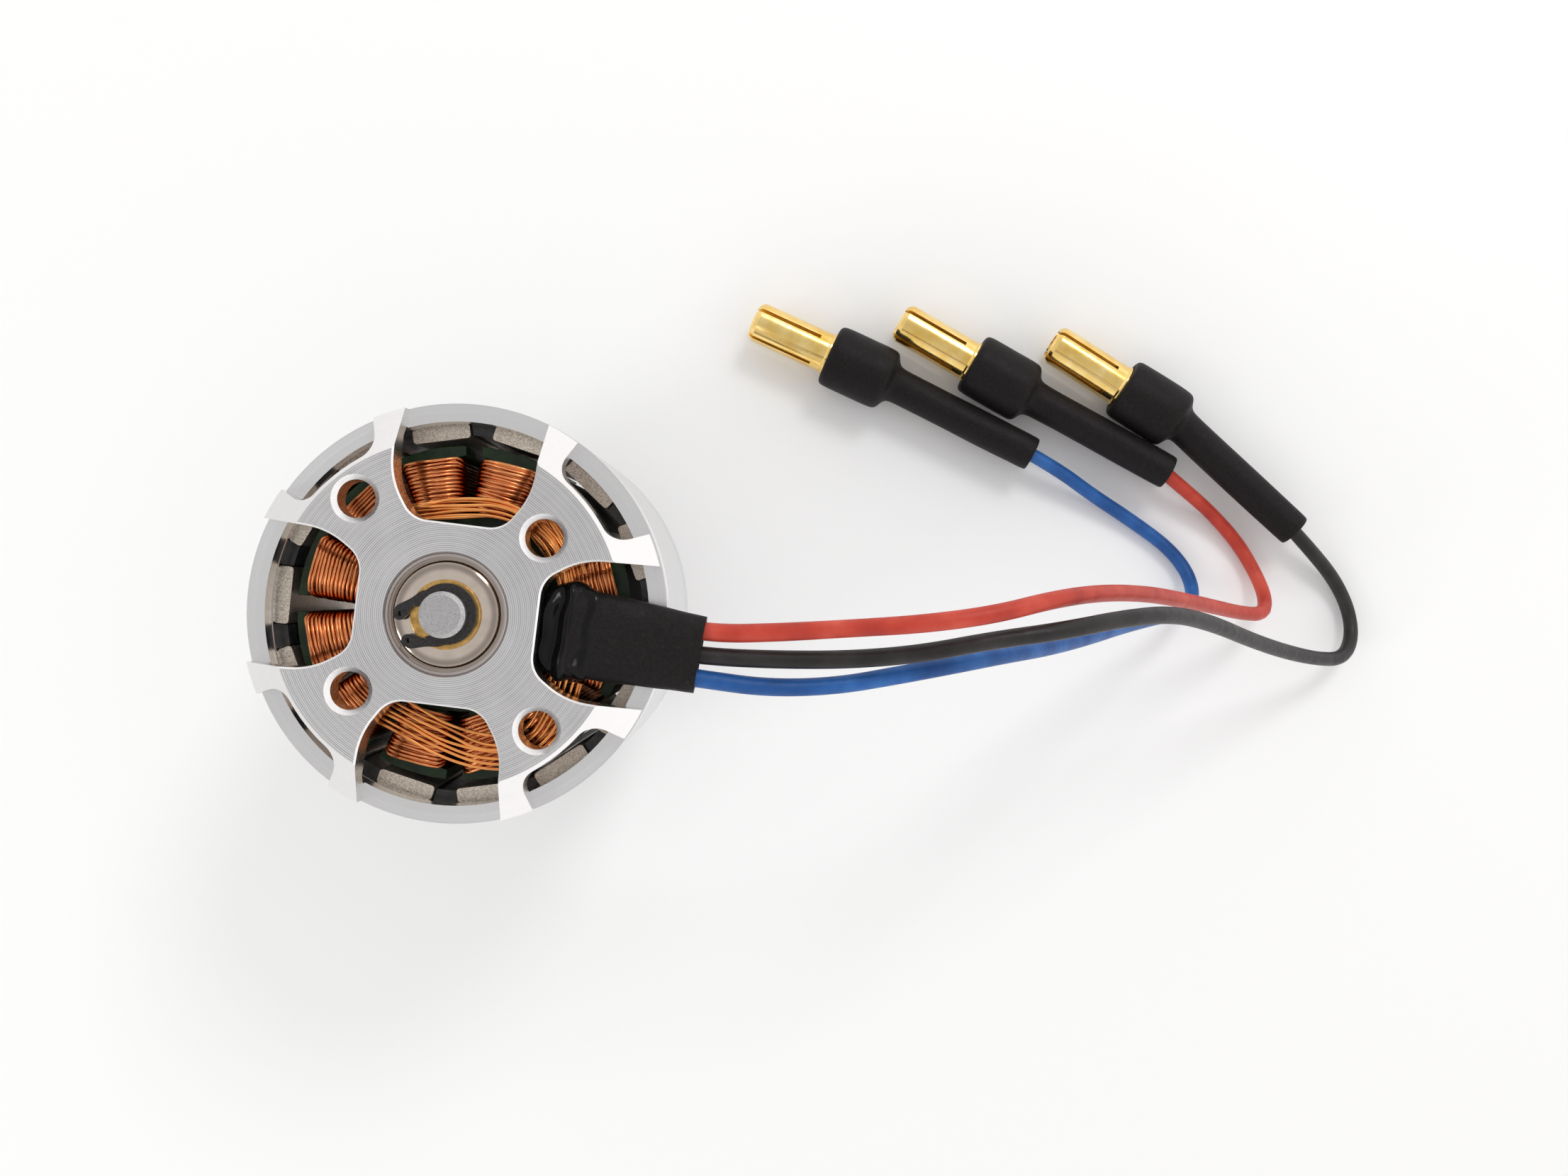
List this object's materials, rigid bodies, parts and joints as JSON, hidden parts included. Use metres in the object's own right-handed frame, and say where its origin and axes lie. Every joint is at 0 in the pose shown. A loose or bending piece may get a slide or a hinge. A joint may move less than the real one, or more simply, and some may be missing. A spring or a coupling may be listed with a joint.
{
  "type": "brushless outrunner motor",
  "caption": "Small brushless outrunner motor: open machined mounting base with prongs, copper windings, rotating magnet bell, prop stud and sleeved leads with bullet connectors.",
  "frame": {"origin": "on the shaft axis, at the flat end of the prop stud, which is what it stands on", "axes": "+Z along the shaft from the prop end up to the mounting base, +X the side where the leads leave"},
  "size_m": [0.0868, 0.0406, 0.0394],
  "materials": {
    "machined_aluminium": "satin, fine turning grooves",
    "rotor_steel": "bright plated steel",
    "bearing_steel": "ground bearing steel",
    "polished_shield": "polished pressed steel",
    "shaft_steel": "ground shaft steel",
    "core_steel": "stacked electrical steel sheets",
    "green_epoxy": "dark green epoxy coating",
    "enamelled_copper": "glossy enamelled copper wire",
    "nickel_magnet": "nickel plated magnet",
    "black_filler": "black resin",
    "bronze": "bronze",
    "black_steel": "blackened spring steel",
    "potting_black": "glossy black glue",
    "shrink_black": "black heat-shrink",
    "lead_red": "red sleeving",
    "lead_black": "black sleeving",
    "lead_blue": "blue sleeving",
    "gold_plate": "gold plated"
  },
  "bodies": {
    "stator": {"motor_base": "machined_aluminium", "stator_core": "core_steel", "insulation_upper": "green_epoxy", "insulation_lower": "green_epoxy", "winding_phase_a": "enamelled_copper", "winding_phase_b": "enamelled_copper", "winding_phase_c": "enamelled_copper", "phase_lead_wires_a": "enamelled_copper", "phase_lead_wires_b": "enamelled_copper", "phase_lead_wires_c": "enamelled_copper", "lead_potting": "potting_black", "lead_sleeve": "shrink_black", "lead_red": "lead_red", "lead_black": "lead_black", "lead_blue": "lead_blue", "bullet_red": "gold_plate", "bullet_black": "gold_plate", "bullet_blue": "gold_plate", "bullet_shrink_red": "shrink_black", "bullet_shrink_black": "shrink_black", "bullet_shrink_blue": "shrink_black", "upper_bearing_outer_ring": "bearing_steel", "lower_bearing_outer_ring": "bearing_steel", "upper_bearing_shields": "polished_shield", "lower_bearing_shields": "polished_shield", "upper_bearing_snap_wires": "bearing_steel", "lower_bearing_snap_wires": "bearing_steel"},
    "rotor": {"bell_cap": "machined_aluminium", "flux_ring": "rotor_steel", "magnets_north": "nickel_magnet", "magnets_south": "nickel_magnet", "magnet_spacers": "black_filler", "shaft": "shaft_steel", "prop_stud": "machined_aluminium", "circlip": "black_steel", "bronze_washer": "bronze", "shim_washer": "shaft_steel", "upper_bearing_inner_ring": "bearing_steel", "lower_bearing_inner_ring": "bearing_steel", "hub_grub_screws": "black_steel"},
    "upper_ball_set": {"upper_bearing_balls": "bearing_steel", "upper_bearing_cage": "bronze"},
    "lower_ball_set": {"lower_bearing_balls": "bearing_steel", "lower_bearing_cage": "bronze"}
  },
  "joints": [
    {"name": "rotor_spin", "type": "hinge", "parent": "stator", "child": "rotor", "pos_m": [0, 0, 0], "axis": [0, 0, 1], "continuous": true},
    {"name": "upper_balls_orbit", "type": "hinge", "parent": "stator", "child": "upper_ball_set", "pos_m": [0, 0, 0], "axis": [0, 0, 1], "continuous": true},
    {"name": "lower_balls_orbit", "type": "hinge", "parent": "stator", "child": "lower_ball_set", "pos_m": [0, 0, 0], "axis": [0, 0, 1], "continuous": true}
  ],
  "couplings": [
    {"joint": "upper_balls_orbit", "follows": "rotor_spin", "ratio": 0.3556},
    {"joint": "lower_balls_orbit", "follows": "rotor_spin", "ratio": 0.3556}
  ]
}
